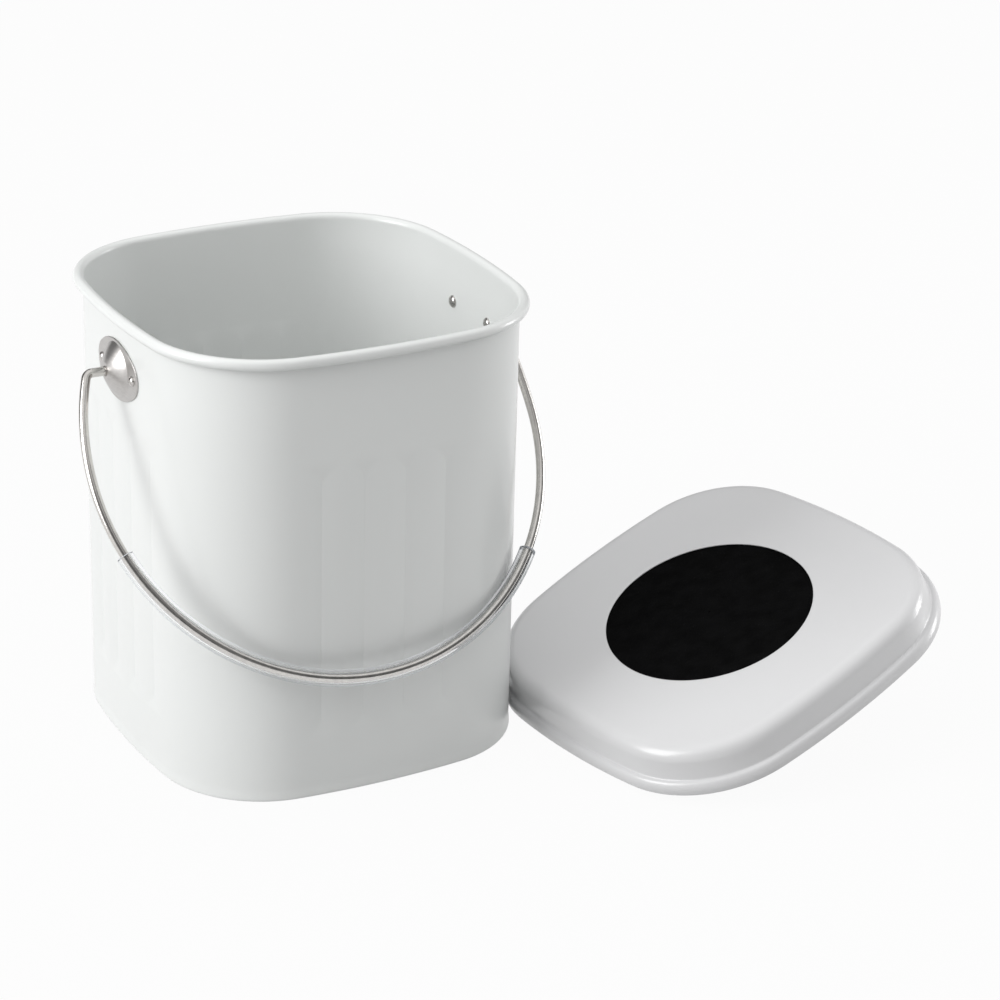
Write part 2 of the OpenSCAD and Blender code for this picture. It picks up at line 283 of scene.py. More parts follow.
# Bright steel: very fine lines that follow a stretch, in colour, roughness and height.
def makeSteel(name, stretch, scale, rough, dull, bright):
    material, nodes, links, shader = newMaterial(name)
    shader.inputs["Metallic"].default_value = 1
    lines = noiseOn(nodes, links, scale, detail=4, roughness=0.6, stretch=stretch).outputs["Fac"]
    links.new(blendColours(nodes, links, lines, dull, bright), shader.inputs["Base Color"])
    links.new(spread(nodes, links, lines, *rough), shader.inputs["Roughness"])
    links.new(bumpFrom(nodes, links, lines, lineStrength, lineHeight), shader.inputs["Normal"])
    return material


tubeValues = {
    "face": (0.985, 0.988, 0.99, 1), "edge": (0.77, 0.80, 0.87, 1), "edgeFrom": 0.25, "hazeScale": 60,
    "rough": (0.0, 0.015), "bending": 1.2,
    "cutDull": (0.56, 0.58, 0.61, 1), "cutBright": (0.66, 0.68, 0.71, 1), "scuffScale": 700, "cutRough": 0.3,
}


# Clear soft tube: hardly tinted face on, blue-grey where it is seen edge on, with a faint haze.
def makeClearTube():
    material, nodes, links, shader = newMaterial("clearTube")
    v = tubeValues
    haze = noiseOn(nodes, links, v["hazeScale"], detail=3).outputs["Fac"]
    facing = addNode(nodes, "ShaderNodeLayerWeight", Blend=0.5).outputs["Facing"]
    tint = blendColours(nodes, links, facing, v["face"], v["edge"], low=v["edgeFrom"], high=1.0)
    links.new(tint, shader.inputs["Base Color"])
    links.new(spread(nodes, links, haze, *v["rough"]), shader.inputs["Roughness"])
    shader.inputs["Transmission Weight"].default_value = 1.0
    shader.inputs["IOR"].default_value = v["bending"]
    return material


# The tube's cut ends: the same plastic scuffed milky, so no light is led along inside the wall.
def makeTubeEnd():
    material, nodes, links, shader = newMaterial("tubeEnd")
    scuff = noiseOn(nodes, links, tubeValues["scuffScale"], detail=2).outputs["Fac"]
    tint = blendColours(nodes, links, scuff, tubeValues["cutDull"], tubeValues["cutBright"])
    links.new(tint, shader.inputs["Base Color"])
    shader.inputs["Roughness"].default_value = tubeValues["cutRough"]
    return material


feltValues = {
    # deep and pale are the felt's charcoal colour made darker still, painted shade under the lid's top
    "deep": (0.0005, 0.0005, 0.0006, 1), "pale": (0.0020, 0.0020, 0.0022, 1),
    "fibre": {"scale": 900, "detail": 4, "roughness": 0.7}, "patch": {"scale": 120, "detail": 3},
    "fibreBump": (0.9, 0.0005), "patchBump": (0.6, 0.0009),
    "Roughness": 0.95, "Specular IOR Level": 0.035, "Sheen Weight": 0.012, "Sheen Roughness": 0.6,
}


# Charcoal felt: near-black fibres in paler and darker patches, with a soft sheen. The near-black is partly
# the felt's own colour and partly painted shade: it is made darker still for the hollow under the lid's top.
def makeFelt():
    material, nodes, links, shader = newMaterial("charcoalFelt")
    v = feltValues
    fibre = noiseOn(nodes, links, **v["fibre"]).outputs["Fac"]
    patch = noiseOn(nodes, links, **v["patch"]).outputs["Fac"]
    links.new(blendColours(nodes, links, patch, v["deep"], v["pale"]), shader.inputs["Base Color"])
    for name in ("Roughness", "Specular IOR Level", "Sheen Weight", "Sheen Roughness"):
        shader.inputs[name].default_value = v[name]
    rough = bumpFrom(nodes, links, fibre, *v["fibreBump"])
    links.new(bumpFrom(nodes, links, patch, *v["patchBump"], before=rough), shader.inputs["Normal"])
    return material


bucketCoat = makeCoat("bucketCoat", **coatValues["bucket"])
# the lid's coat is a darker copy of the bucket's coat, painted shade on the lid and its collar
shadedLidCoat = makeCoat("shadedLidCoat", **coatValues["lid"])
wireSteel = makeSteel("wireSteel", **steelValues["wire"])
# the ear's steel is darker than the wire's, a painted darker reflection
shadedEarSteel = makeSteel("shadedEarSteel", **steelValues["ear"])
rivetSteel = makeSteel("rivetSteel", **steelValues["rivet"])
clearTube = makeClearTube()
tubeEnd = makeTubeEnd()
charcoalFelt = makeFelt()
print("finishes ready")


wallShape = {"height": 227.5, "sheet": 0.8, "rimRadius": 2.75, "seamOut": 0.4}
# pitch lies between creases, reach is how far from a crease its flank begins, fade the length of a ramp
grooveShape = {"count": 4, "pitch": 21.7, "low": 31, "high": 172, "depth": 0.7, "reach": 10.8, "fade": 9}

creaseTurns = np.arcsin(
    (np.arange(grooveShape["count"]) - (grooveShape["count"] - 1) / 2) * grooveShape["pitch"] / faceRadius
)


# Depth of the pressing: two rounded flanks, each an arc of flankRadius, meet in a crease, and straight ramps
# run it out at both ends; the lesser of the two holds.
def pressDepth(turns, z):
    local = turns - np.floor((turns + np.pi / 4) / (np.pi / 2)) * np.pi / 2
    nearest = np.abs(local[..., None] - creaseTurns).min(axis=-1)
    away = np.clip(grooveShape["reach"] - faceRadius * nearest, 0, None)
    flankRadius = (grooveShape["reach"] ** 2 + grooveShape["depth"] ** 2) / (2 * grooveShape["depth"])
    flank = flankRadius - np.sqrt(flankRadius**2 - away**2)
    inside = np.minimum(z - grooveShape["low"], grooveShape["high"] - z)
    ramp = np.clip(grooveShape["depth"] * inside / grooveShape["fade"], 0, None)
    return np.minimum(flank, ramp)


# The wall's section, from the lock seam up the outside, round the rolled rim and down the inside,
# carried round the outline and pushed in by the pressing's depth.
def makeWall():
    s, g = wallShape, grooveShape
    curlHeight = s["height"] - s["rimRadius"]
    curlCentre = (s["rimRadius"] - s["sheet"], curlHeight)
    # rows lie close together where the pressing runs out
    heights = np.concatenate([
        np.linspace(6.2, 28, 6), np.arange(g["low"] - 1, g["low"] + g["fade"] + 2, 1.0),
        np.linspace(50, 155, 7), np.arange(g["high"] - g["fade"] - 1, g["high"] + 2, 1.0),
        np.linspace(180, curlHeight - 1, 8),
    ])
    foot = np.array([
        [-0.55, 0], [-0.2, 0], [0.08, 0.07], [0.28, 0.25], [0.37, 0.5], [s["seamOut"], 0.85], [0.36, 1.5],
        [0.3, 2.2], [0.22, 3.0], [0.14, 3.8], [0.07, 4.6], [0.02, 5.4],
    ])
    outer = np.stack([0 * heights, heights], axis=1)
    underCurl = arc(curlCentre, s["rimRadius"] - s["sheet"], 180, -120, 16)
    overCurl = arc(curlCentre, s["rimRadius"], -120, 180, 34)
    inner = np.stack([0 * heights - s["sheet"], heights], axis=1)[::-1]
    profile = np.concatenate([foot, outer, underCurl, overCurl, inner, [[-s["sheet"], 0.3]]])
    nearCrease = (creaseTurns[:, None] + np.array([-0.6, -0.25, 0, 0.25, 0.6]) / faceRadius).ravel()
    turns = outlineTurns(73, 32, nearCrease)
    out, z = profile[:, 0:1], profile[:, 1:2]
    x, y = outline(turns[None, :], out - pressDepth(turns[None, :] + 0 * z, z))
    grid = np.stack([x, y, z + 0 * x], axis=-1)
    return makePiece(
        "bucketWall", grid, [gridQuads(grid.shape[0], grid.shape[1], True, True)],
        "bucket", ["bucket_wall"], bucketCoat,
    )


makeWall()

baseShape = {"sheet": 0.8, "lip": 6, "gap": 0.02, "bend": 2}


# A pan pressed into the foot of the wall: flat floor, rounded turn and a short upright lip.
def makeBase():
    s = baseShape
    edge = -s["sheet"] - s["gap"]
    outerTurn = arc((edge - s["bend"], s["bend"]), s["bend"], -90, 0, 8)
    innerTurn = arc((edge - s["bend"], s["bend"]), s["bend"] - s["sheet"], 0, -90, 8)
    profile = np.concatenate([
        outerTurn, [[edge, s["lip"] - 0.2], [edge - 0.2, s["lip"]], [edge - s["sheet"] + 0.2, s["lip"]],
                    [edge - s["sheet"], s["lip"] - 0.2]], innerTurn,
    ])
    turns = outlineTurns(25, 16)
    x, y = outline(turns[None, :], profile[:, 0:1])
    grid = np.stack([x, y, profile[:, 1:2] + 0 * x], axis=-1)
    # rings that shrink towards the middle carry the floor, above and below
    shrink = np.array([0.85, 0.6, 0.35, 0.12])[:, None, None]
    under = ((grid[0] * [1, 1, 0])[None] * shrink)[::-1]
    above = grid[-1][None] * np.concatenate([shrink, shrink, 0 * shrink + 1], axis=2)
    full = np.concatenate([under, grid, above])
    rows, columns = full.shape[:2]
    return makePiece(
        "bucketBase", full, [gridQuads(rows, columns, False, True), endFaces(rows, columns)],
        "bucket", ["bucket_base"], bucketCoat, crisp=50,
    )


makeBase()


earShape = {
    "height": 197.4, "width": 48, "tall": 29.6, "foot": 28.8, "bow": 30, "rise": 6.6, "sheet": 0.8,
    "hole": 2.33, "tip": 4.05, "crease": 0.7, "seat": 0.02, "flatTo": 10, "bendOver": 3.5,
}
rivetShape = {
    "gap": 36.6, "head": 5, "headRise": 1.5, "inner": 6.4, "innerRise": 1.7, "shank": 3.2,
    "outerSeat": 0.04, "innerSeat": 0.02,
}


# Ear points lie flat: x down the wall, y along it and z out of it, on the left (-1) or right (+1) face.
def onEar(side, points):
    down, along, out = points[..., 0], points[..., 1], points[..., 2]
    return np.stack([side * (outlineShape["halfWidth"] + out), along, earShape["height"] - down], axis=-1)


# How far the bowed wall has fallen away at a distance along it.
def wallSag(y):
    return faceRadius - np.sqrt(faceRadius**2 - y**2)


# The oval: each direction of the normal has one point, on the arc of an end or on the arc of a long side,
# whose centres and radii meet on a 3-4-5 slope.
def earOval(turns, inset):
    step = 1.25 * (earShape["width"] - earShape["tall"])
    endRadius = earShape["width"] / 2 - 0.6 * step
    onEnd = np.abs(np.sin(turns)) > 0.6
    x = np.where(onEnd, 0, -0.8 * step * np.sign(np.cos(turns)))
    y = np.where(onEnd, 0.6 * step * np.sign(np.sin(turns)), 0)
    radius = np.where(onEnd, endRadius, endRadius + step) - inset
    return x + radius * np.cos(turns), y + radius * np.sin(turns)


# The centre of the flank's arc: back from the middle between its foot and its tip, square to the line
# that joins them.
def flankCentre():
    s = earShape
    foot, tip = np.array([s["foot"] / 2, 0.1]), np.array([s["tip"], s["rise"]])
    along = foot - tip
    half = np.hypot(*along) / 2
    return (foot + tip) / 2 - math.sqrt(s["bow"]**2 - half**2) * np.array([-along[1], along[0]]) / (2 * half)


# Round the ear's section: oval edge, flange, small fillet, domed flank, tip, hole, and back underneath.
def makeEar(name, side, node):
    s = earShape
    columns = 128
    turns = np.linspace(0, 2 * np.pi, columns, endpoint=False)
    centre, sheet = flankCentre(), s["sheet"]

    def flank(radius, low, count):
        start = math.degrees(math.asin((low - centre[1]) / radius))
        end = math.degrees(math.atan2(s["rise"] - centre[1], s["tip"] - centre[0]))
        return arc(centre, radius, start, end, count)

    crease = s["crease"]
    outer = flank(s["bow"], sheet + 0.45 * crease, 18)
    filletFoot = outer[0] + crease * np.array([[1, -0.45], [0.5, -0.4], [0.16, -0.2]])
    tipRing = [
        [s["tip"] - 0.5, s["rise"] + 0.03], [s["hole"] + 0.35, s["rise"]],
        [s["hole"] + 0.08, s["rise"] - 0.1], [s["hole"], s["rise"] - 0.3],
        [s["hole"], s["rise"] - sheet + 0.05], [s["tip"] - 0.6, s["rise"] - sheet - 0.02],
    ]
    inner = flank(s["bow"] - sheet, -0.05, 12)[::-1]
    section = np.concatenate([filletFoot, outer, tipRing, inner])

    def ovals(insets, heights):
        x, y = earOval(turns[None, :], np.array(insets)[:, None])
        return np.stack([x, y, np.array(heights)[:, None] + 0 * x], axis=-1)

    def blended(oval, circle, shares):
        share = np.array(shares)[:, None, None]
        return oval[None] * (1 - share) + circle[None] * share

    ring = turned(section, columns)
    edge = ovals([0.3, 0.1, 0, 0, 0.1, 0.3], [0, 0.06, 0.22, sheet - 0.22, sheet - 0.06, sheet])
    over = blended(edge[-1], ring[0], [0.12, 0.45, 0.8])
    under = blended(ring[-1], edge[0], [0.3, 0.7])
    grid = np.concatenate([edge, over, ring, under])
    # outside the hollow of the boss the flange follows the bowed wall
    away = np.hypot(grid[..., 0], grid[..., 1])
    grid[..., 2] += s["seat"] - wallSag(grid[..., 1]) * np.clip((away - s["flatTo"]) / s["bendOver"], 0, 1)
    return makePiece(
        name, onEar(side, grid), [gridQuads(len(grid), columns, True, True)],
        "bucket", [node], shadedEarSteel, crisp=60,
    )


makeEar("earLeft", -1, "ear_left")
makeEar("earRight", 1, "ear_right")


# Domed head outside, shank through both sheets and wider domed head inside, square to the bowed wall.
def makeRivets():
    s, earSheet, wallSheet = rivetShape, earShape["sheet"], wallShape["sheet"]
    lean = math.asin(s["gap"] / 2 / faceRadius)
    outside = arc((0, 0), 1, 0, 88, 12) * [s["head"] / 2, s["headRise"]] + [0, earSheet + s["outerSeat"]]
    inside = arc((0, 0), 1, -88, 0, 12) * [s["inner"] / 2, s["innerRise"]] + [0, -wallSheet - s["innerSeat"]]
    shank = [[s["shank"] / 2, -wallSheet], [s["shank"] / 2, earSheet]]
    profile = np.concatenate([inside, shank, outside])
    rows, columns = len(profile), 36
    upright = turned(profile, columns).reshape(-1, 3)
    points, quads, caps = [], [], []
    for side in (-1, 1):
        for way in (-1, 1):
            c, t = math.cos(way * lean), math.sin(way * lean)
            high = upright[:, 2] + faceRadius
            placed = onEar(side, np.stack([
                upright[:, 0], upright[:, 1] * c + high * t, high * c - upright[:, 1] * t - faceRadius,
            ], axis=1))
            group = [gridQuads(rows, columns, False, True), endFaces(rows, columns)]
            if sum(signedVolume(placed - placed.mean(axis=0), g) for g in group) < 0:
                group = [g[:, ::-1] for g in group]
            start = len(points) * rows * columns
            quads.append(group[0] + start)
            caps.append(group[1] + start)
            points.append(placed)
    return makePiece(
        "earRivets", np.concatenate(points), [np.concatenate(quads), np.concatenate(caps)],
        "bucket", ["ear_rivets"], rivetSteel,
    )


makeRivets()


bailShape = {
    "wire": 4.5, "radius": 116.7, "along": 49, "left": 117.6, "right": 298.125, "bend": 4, "play": -2.3,
    "sleeve": 8.2, "sleeveBore": 4.8, "sleeveLeft": 71.5, "sleeveRight": 52.2, "gap": 0.35,
    "head": 6.4, "headOut": 2.6,
}
bailNeck = bailShape["along"] + bailShape["bend"]


# The radius of an upper arc whose centre lies this far across: it meets the small bend at the top.
def armRadius(across):
    return math.hypot(across, bailShape["along"]) + bailShape["bend"]


# How far to the side of the arc's middle the stub into the ear begins.
def stubAt(across):
    return bailShape["radius"] - armRadius(across) + across


stubMiddle = (stubAt(bailShape["right"]) - stubAt(bailShape["left"])) / 2
bailX = bailShape["play"] - stubMiddle


# The bail leans until its sleeve just clears the bucket's corner: the largest lean asked for by
# any part of its lower arc.
def findLean():
    angles = np.radians(np.arange(10, 41, 2))
    across = bailShape["radius"] * np.sin(angles) - abs(bailX) - outlineShape["cornerAt"]
    reach = cornerRadius + bailShape["sleeve"] / 2 + bailShape["gap"]
    needed = outlineShape["cornerAt"] + np.sqrt(reach**2 - across**2)
    return np.arcsin(needed / (bailNeck + bailShape["radius"] * np.cos(angles))).max()


bailLean = findLean()
print("bail leans", round(math.degrees(bailLean), 2), "degrees")


# From the bail's own plane (sideways, down along the bail, out of the plane) into the frame.
def inBail(side, down, proud):
    c, s = math.cos(bailLean), math.sin(bailLean)
    return np.stack([bailX + side, -down * s - proud * c, earShape["height"] - down * c + proud * s], axis=-1)


# One half of the wire's centre line, from the middle of the lower arc up to the head in the ear.
def halfPath(across, way):
    r, neck, bend = bailShape["radius"], bailNeck, bailShape["bend"]
    arm = armRadius(across)
    lower = np.radians(np.linspace(0, 90, 90))
    upper = np.linspace(0, math.atan2(bailShape["along"], across), 34)[1:]
    corner = np.linspace(math.atan2(bailShape["along"], across), np.pi / 2, 14)[1:]
    headEnd = outlineShape["halfWidth"] + bailShape["headOut"] + way * stubMiddle
    side = np.concatenate([
        r * np.sin(lower), r - arm + arm * np.cos(upper), stubAt(across) + bend * np.cos(corner),
    ])
    down = np.concatenate([
        neck + r * np.cos(lower), neck - arm * np.sin(upper), bend - bend * np.sin(corner),
    ])
    head = headEnd + np.array([0.8, 0.77, 0.68, 0.4, 0.12, 0.03, 0])
    inward = np.concatenate([np.linspace(stubAt(across), headEnd + 1.0, 10)[1:], head])
    return np.concatenate([way * side, way * inward]), np.concatenate([down, 0 * inward])


# A round section carried along a flat path: it opens sideways in the plane and straight out of it.
def roundAlong(side, down, radius, columns):
    path = np.stack([side, down], axis=1)
    direction = np.gradient(path, axis=0)
    direction /= np.linalg.norm(direction, axis=1)[:, None]
    angles = np.linspace(0, 2 * np.pi, columns, endpoint=False)
    sideways = radius[:, None] * np.cos(angles)
    return inBail(
        side[:, None] - direction[:, 1:2] * sideways, down[:, None] + direction[:, 0:1] * sideways,
        radius[:, None] * np.sin(angles),
    )


# Both halves of the path joined, with a round section that widens into the heads at its ends.
def makeWire():
    rightSide, rightDown = halfPath(bailShape["right"], 1)
    leftSide, leftDown = halfPath(bailShape["left"], -1)
    side = np.concatenate([leftSide[::-1], rightSide[1:]])
    down = np.concatenate([leftDown[::-1], rightDown[1:]])
    radius = np.full(len(side), bailShape["wire"] / 2)
    head = bailShape["head"] / 2
    radius[:7] = head - np.array([0.5, 0.15, 0, 0, 0, 0.15, 0.6])
    radius[-7:] = radius[:7][::-1]
    grid = roundAlong(side, down, radius, 32)
    rows, columns = grid.shape[:2]
    return makePiece(
        "bailWire", grid, [gridQuads(rows, columns, False, True), endFaces(rows, columns)],
        "bail", ["bail_wire"], wireSteel, crisp=50,
    )


makeWire()


# The sleeve's wall follows the lower arc: outer skin, cut end, bore, cut end, each a circle round the wire.
def makeSleeve():
    s = bailShape
    outer, bore, columns = s["sleeve"] / 2, s["sleeveBore"] / 2, 40
    along = np.radians(np.linspace(-s["sleeveLeft"], s["sleeveRight"], 160))
    # the cuts bulge this far past the skins' last circles
    nib = 0.25 / s["radius"]
    angles = np.concatenate([
        along, [along[-1] + nib, along[-1] + nib], along[::-1], [along[0] - nib, along[0] - nib],
    ])
    cutRadius = [outer - 0.3, bore + 0.2]
    radius = np.concatenate([
        np.full(len(along), outer), cutRadius, np.full(len(along), bore), cutRadius[::-1],
    ])
    turns = np.linspace(0, 2 * np.pi, columns, endpoint=False)
    reach = s["radius"] + radius[:, None] * np.cos(turns)
    grid = inBail(
        reach * np.sin(angles)[:, None], bailNeck + reach * np.cos(angles)[:, None],
        radius[:, None] * np.sin(turns) + 0 * reach,
    )
    sleeve = makePiece(
        "gripSleeve", grid, [gridQuads(len(angles), columns, True, True)], "bail", ["grip_sleeve"],
        clearTube, crisp=40,
    )
    # the rows of faces at both ends take the milky finish
    sleeve.data.materials.append(tubeEnd)
    row = np.repeat(np.arange(len(angles)), columns)
    cut = ((row >= len(along) - 1) & (row < len(along) + 2)) | (row >= 2 * len(along) + 1)
    sleeve.data.polygons.foreach_set("material_index", cut.astype(np.int32))


makeSleeve()


lidShape = {
    "sheet": 0.7, "height": 21.8, "flangeOut": 5.7, "flangeHeight": 6.4,
    "ledgeTurn": (2.9, 4.6), "hollow": 1.1, "skirtOut": 1.8, "skirtLean": 1.4, "shoulder": 7.5,
    "vent": 107.4, "x": 190.4, "y": -95.5, "tilt": 20.5, "tiltLine": -82.8, "turn": 8.9,
}
filterShape = {
    "diameter": 116.4, "thickness": 7, "softEdge": 1.2,
    "collar": 10, "collarGap": 0.3, "flange": 6, "collarTurn": 1.4,
}

lidTurn = (
    turnMatrix("z", lidShape["tiltLine"]) @ turnMatrix("x", lidShape["tilt"])
    @ turnMatrix("z", lidShape["turn"] - lidShape["tiltLine"])
)
rimTurns = np.linspace(0, 2 * np.pi, 720)
hemX, hemY = outline(rimTurns, lidShape["flangeOut"])
lidLift = -(np.stack([hemX, hemY, 0 * hemX], axis=1) @ lidTurn.T)[:, 2].min()


# Where the lid lies: turned, tilted, and raised until its lowest edge meets the floor.
def inLid(points):
    return points.reshape(-1, 3) @ lidTurn.T + [lidShape["x"], lidShape["y"], lidLift]


# The lid's section: short upright flange, a quarter ellipse for the ledge, hollow step, leaning skirt and
# rounded shoulder.
def lidSection():
    s = lidShape
    topOut = s["skirtOut"] - s["skirtLean"] - s["shoulder"]
    ledge = arc((0, 0), 1, 0, 80, 12) * s["ledgeTurn"] + [
        s["flangeOut"] - s["ledgeTurn"][0], s["flangeHeight"] - s["ledgeTurn"][1],
    ]
    shoulderFoot = s["height"] - s["shoulder"]
    return np.concatenate([
        between([s["flangeOut"], -1], [s["flangeOut"], 1.2], 2), between([s["flangeOut"], 1.2], ledge[0], 1),
        ledge,
        arc((s["skirtOut"] + s["hollow"], s["flangeHeight"] + s["hollow"]), s["hollow"], 260, 186, 8),
        between([s["skirtOut"], s["flangeHeight"] + 1], [topOut + s["shoulder"], shoulderFoot], 3),
        arc((topOut, shoulderFoot), s["shoulder"], 6, 90, 14),
    ])


# The section and its inner skin carried round the outline; between them a flat top that blends into the
# vent's circle, the vent's rounded lip, the top's underside and the hem.
def makeLid():
    s = lidShape
    outer = lidSection()
    inner = offsetPath(outer, s["sheet"])
    # the skins' first rows and the hem's two round the lower edge off
    outer[0] = [s["flangeOut"] - 0.05, 0.12]
    hem = [[s["flangeOut"] - 0.2, 0], [s["flangeOut"] - s["sheet"] + 0.2, 0]]
    inner[0] = [s["flangeOut"] - s["sheet"] + 0.03, 0.12]
    turns = outlineTurns(41, 36)
    vent = s["vent"] / 2

    def swept(path):
        x, y = outline(turns[None, :], path[:, 0:1])
        return np.stack([x, y, path[:, 1:2] + 0 * x], axis=-1)

    skirtRows, skirtInner = swept(outer), swept(inner)

    # the flat top blends from the swept outline to the vent's circle
    def topRows(edge, height, radius, shares):
        bearing = np.arctan2(edge[:, 1], edge[:, 0])
        circle = np.stack([radius * np.cos(bearing), radius * np.sin(bearing), 0 * bearing + height], axis=1)
        return edge[None] * (1 - shares[:, None, None]) + circle[None] * shares[:, None, None]

    shares = np.array([0.08, 0.3, 0.6, 0.85, 0.97])
    top = topRows(skirtRows[-1], s["height"], vent, shares)
    bearing = np.arctan2(skirtRows[-1][:, 1], skirtRows[-1][:, 0])
    lip = np.array([
        [0.35, 0], [0.12, -0.05], [0.0, -0.2], [0.0, -0.5], [0.12, -0.65], [0.35, -0.7],
    ])
    ring = np.stack([
        (vent + lip[:, 0:1]) * np.cos(bearing), (vent + lip[:, 0:1]) * np.sin(bearing),
        s["height"] + lip[:, 1:2] + 0 * bearing,
    ], axis=-1)
    under = topRows(skirtInner[-1], s["height"] - s["sheet"], vent, shares)[::-1]
    hemRows = swept(np.array(hem))[::-1]
    grid = np.concatenate([skirtRows, top, ring, under, skirtInner[::-1], hemRows])
    return makePiece(
        "lidShell", inLid(grid), [gridQuads(grid.shape[0], grid.shape[1], True, True)],
        "lid", ["lid_shell"], shadedLidCoat,
    )


makeLid()


# The collar under the vent: flat flange against the lid, rounded turn and a short upright wall.
def makeCollar():
    s, f = lidShape, filterShape
    r = f["diameter"] / 2 + f["collarGap"]
    sheet, turn, edge = s["sheet"], f["collarTurn"], r + f["flange"]
    outside = np.concatenate([
        [[edge, sheet - 0.1], [edge - 0.1, sheet], [r + 3, sheet], [r + turn, sheet]],
        arc((r + turn, turn), turn - sheet, 270, 180, 6),
        [[r + sheet, f["collar"] - 0.15], [r + sheet - 0.15, f["collar"]]],
    ])
    inside = np.concatenate([
        [[r + 0.15, f["collar"]], [r, f["collar"] - 0.15]], arc((r + turn, turn), turn, 180, 270, 8),
        [[r + 3, 0], [edge - 0.1, 0], [edge, 0.1]],
    ])
    profile = np.concatenate([outside, inside])
    profile[:, 1] = s["height"] - sheet - 0.02 - profile[:, 1]
    grid = turned(profile, 128)
    return makePiece(
        "filterCollar", inLid(grid), [gridQuads(len(profile), 128, True, True)],
        "lid", ["filter_collar"], shadedLidCoat, crisp=45,
    )


makeCollar()


# A felt disc whose faces sag and swell a little, with soft edges.
def makeFilter():
    f = filterShape
    top = lidShape["height"] - lidShape["sheet"] - 0.1
    r, soft = f["diameter"] / 2, f["softEdge"]
    across = np.concatenate([[0.4, 1.5], np.linspace(4, r - soft, 30)])
    edge = arc((r - soft, -soft), soft, 90, 0, 6)
    lowEdge = arc((r - soft, soft - f["thickness"]), soft, 0, -90, 6)
    profile = np.concatenate([
        np.stack([across, 0 * across], axis=1), edge[1:], lowEdge,
        np.stack([across[::-1], 0 * across - f["thickness"]], axis=1)[1:],
    ])
    grid = turned(profile, 160)
    x, y = grid[..., 0], grid[..., 1]
    swell = 0.12 * np.sin(x / 9.1 + 1.3) * np.sin(y / 7.7) + 0.07 * np.sin((x + 1.7 * y) / 4.3) - 0.2
    grid[..., 2] += np.where(grid[..., 2] > -1, swell, 0)
    grid[..., 2] += top
    rows, columns = grid.shape[:2]
    return makePiece(
        "charcoalFilter", inLid(grid), [gridQuads(rows, columns, False, True), endFaces(rows, columns)],
        "filter", ["charcoal_filter"], charcoalFelt,
    )


makeFilter()


view = {
    "focalPixels": 3135.164, "distance": 1604.322, "elevation": 0.405, "azimuth": 0.508, "roll": -0.027,
    "slideX": -99.548, "slideY": -106.045, "imageWidth": 1000, "sensorWidth": 36, "farthest": 20,
}


# The camera's axes and place are worked out as if it stood due south, then turned round the object;
# focal length is in pixels of the image, angles in radians.
def makeCamera():
    el, psi, roll = view["elevation"], view["azimuth"], view["roll"]
    right = np.array([1.0, 0, 0])
    forward = np.array([0, math.cos(el), -math.sin(el)])
    up = np.array([0, math.sin(el), math.cos(el)])
    place = -view["slideX"] * right - view["slideY"] * up - view["distance"] * forward
    rightRolled = right * math.cos(roll) - up * math.sin(roll)
    upRolled = right * math.sin(roll) + up * math.cos(roll)
    turn = turnMatrix("z", -math.degrees(psi))
    columns = [turn @ axis for axis in (rightRolled, upRolled, -forward)]
    data = bpy.data.cameras.new("viewCamera")
    data.lens = view["focalPixels"] / view["imageWidth"] * view["sensorWidth"]
    data.sensor_width = view["sensorWidth"]
    data.clip_end = view["farthest"]
    camera = bpy.data.objects.new("viewCamera", data)
    bpy.context.scene.collection.objects.link(camera)
    matrix = np.eye(4)
    matrix[:3, :3] = np.stack(columns, axis=1)
    matrix[:3, 3] = turn @ place * mm
    camera.matrix_world = Matrix(matrix.tolist())
    bpy.context.scene.camera = camera


makeCamera()


# Levels are shares of white; places and sizes are in metres, powers in watts.
studio = {
    "lowLevel": 0.05, "topLevel": 1.27, "darkWay": (0.42, 0.83, 0.36), "darkFrom": 0.72, "darkFull": 0.96,
    "darkLevel": 0.14, "floorShare": 0.95, "floorColour": (0.50, 0.50, 0.50, 1), "floorHalf": 8.0,
    "floorRough": 0.9, "floorGloss": 0.1, "floorDrop": 0.0002,
    "keyPower": 25, "keyPlace": (-1.8, 0.03, 0.98), "keySize": (1.0, 1.3),
    "fillPower": 8, "fillPlace": (1.8, -0.32, 0.4), "fillSize": (0.4, 0.8),
}


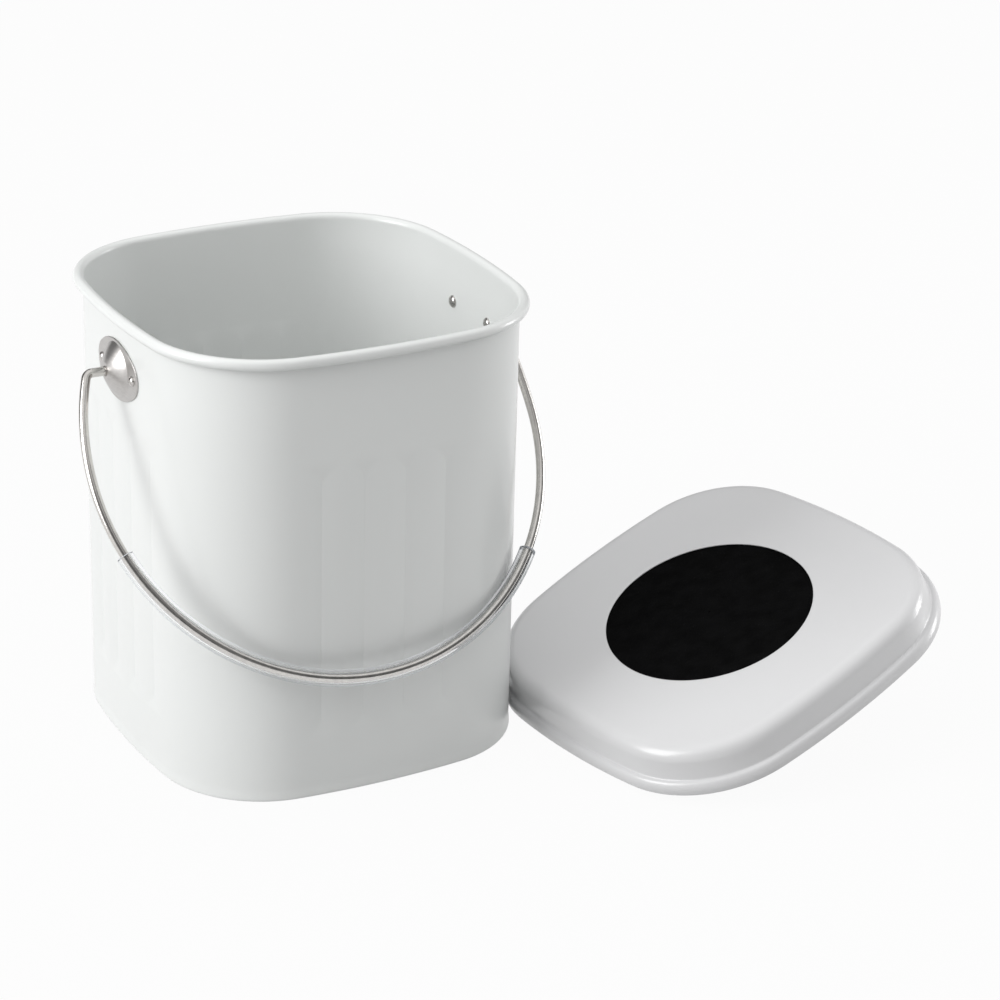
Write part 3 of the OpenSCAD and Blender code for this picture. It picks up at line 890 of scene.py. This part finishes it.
# White to the camera and through clear plastic; in gloss it has four dark corners, round darkWay and its
# mirror images, between white sides; elsewhere a light that grows with height.
def makeWorld():
    world = bpy.data.worlds.new("studioWorld")
    bpy.context.scene.world = world
    world.use_nodes = True
    nodes, links = world.node_tree.nodes, world.node_tree.links
    nodes.clear()
    path = addNode(nodes, "ShaderNodeLightPath").outputs
    way = addNode(nodes, "ShaderNodeTexCoord").outputs["Generated"]
    anyWay = addNode(nodes, "ShaderNodeVectorMath", operation="ABSOLUTE")
    towards = addNode(nodes, "ShaderNodeVectorMath", operation="DOT_PRODUCT")
    towards.inputs[1].default_value = studio["darkWay"]
    height = addNode(nodes, "ShaderNodeSeparateXYZ")
    links.new(way, anyWay.inputs[0])
    links.new(anyWay.outputs["Vector"], towards.inputs[0])
    links.new(way, height.inputs["Vector"])
    dim = spread(
        nodes, links, towards.outputs["Value"], 1.0, studio["darkLevel"],
        start=studio["darkFrom"], end=studio["darkFull"], interpolation_type="SMOOTHSTEP",
    )
    level = spread(
        nodes, links, height.outputs["Z"], studio["lowLevel"], studio["topLevel"], start=0.0, end=1.0,
    )
    lit, mirrored, white = [
        addNode(nodes, "ShaderNodeBackground", Color=(1, 1, 1, 1), Strength=1.0) for _ in range(3)
    ]
    links.new(level, lit.inputs["Strength"])
    links.new(dim, mirrored.inputs["Strength"])
    clearRay = path["Is Transmission Ray"]
    reflected = combine(nodes, links, "MAXIMUM", path["Is Glossy Ray"], clearRay)
    straight = combine(nodes, links, "LESS_THAN", path["Glossy Depth"], 0.5)
    through = combine(nodes, links, "MULTIPLY", clearRay, straight)
    seen = combine(nodes, links, "MAXIMUM", path["Is Camera Ray"], through)
    inGloss = mixShaders(nodes, links, reflected, lit.outputs[0], mirrored.outputs[0])
    output = addNode(nodes, "ShaderNodeOutputWorld")
    links.new(mixShaders(nodes, links, seen, inGloss, white.outputs[0]), output.inputs["Surface"])


# A pale floor that is almost white to the camera, gloss and clear plastic, and grey to other light.
def makeFloor():
    half = studio["floorHalf"]
    mesh = bpy.data.meshes.new("floor")
    corners = [(-half, -half, 0), (half, -half, 0), (half, half, 0), (-half, half, 0)]
    mesh.from_pydata(corners, [], [(0, 1, 2, 3)])
    floor = bpy.data.objects.new("floor", mesh)
    bpy.context.scene.collection.objects.link(floor)
    floor.location.z = -studio["floorDrop"]
    material, nodes, links, shader = newMaterial("paleFloor")
    shader.inputs["Base Color"].default_value = studio["floorColour"]
    shader.inputs["Roughness"].default_value = studio["floorRough"]
    shader.inputs["Specular IOR Level"].default_value = studio["floorGloss"]
    glow = addNode(nodes, "ShaderNodeEmission", Color=(1, 1, 1, 1), Strength=1.0)
    path = addNode(nodes, "ShaderNodeLightPath").outputs
    either = combine(nodes, links, "MAXIMUM", path["Is Camera Ray"], path["Is Glossy Ray"])
    seen = combine(nodes, links, "MAXIMUM", either, path["Is Transmission Ray"])
    share = combine(nodes, links, "MULTIPLY", seen, studio["floorShare"])
    mix = mixShaders(nodes, links, share, shader.outputs[0], glow.outputs[0])
    links.new(mix, nodes["Material Output"].inputs["Surface"])
    mesh.materials.append(material)


# A rectangular lamp that looks from its place at a target: its own Z axis points away from the target.
def makeLamp(name, place, target, size, power):
    data = bpy.data.lights.new(name, "AREA")
    data.shape = "RECTANGLE"
    data.size, data.size_y = size
    data.energy = power
    lamp = bpy.data.objects.new(name, data)
    bpy.context.scene.collection.objects.link(lamp)
    away = np.array(place) - np.array(target)
    away /= np.linalg.norm(away)
    side = np.cross([0, 0, 1], away)
    side /= np.linalg.norm(side)
    matrix = np.eye(4)
    matrix[:3, :3] = np.stack([side, np.cross(away, side), away], axis=1)
    matrix[:3, 3] = place
    lamp.matrix_world = Matrix(matrix.tolist())


makeWorld()
makeFloor()
makeLamp("keyLamp", studio["keyPlace"], (0, 0, 0.1), studio["keySize"], studio["keyPower"])
makeLamp("fillLamp", studio["fillPlace"], (0.05, 0, 0.1), studio["fillSize"], studio["fillPower"])
bpy.context.scene.view_settings.view_transform = "Standard"
print("camera, floor and lights set")
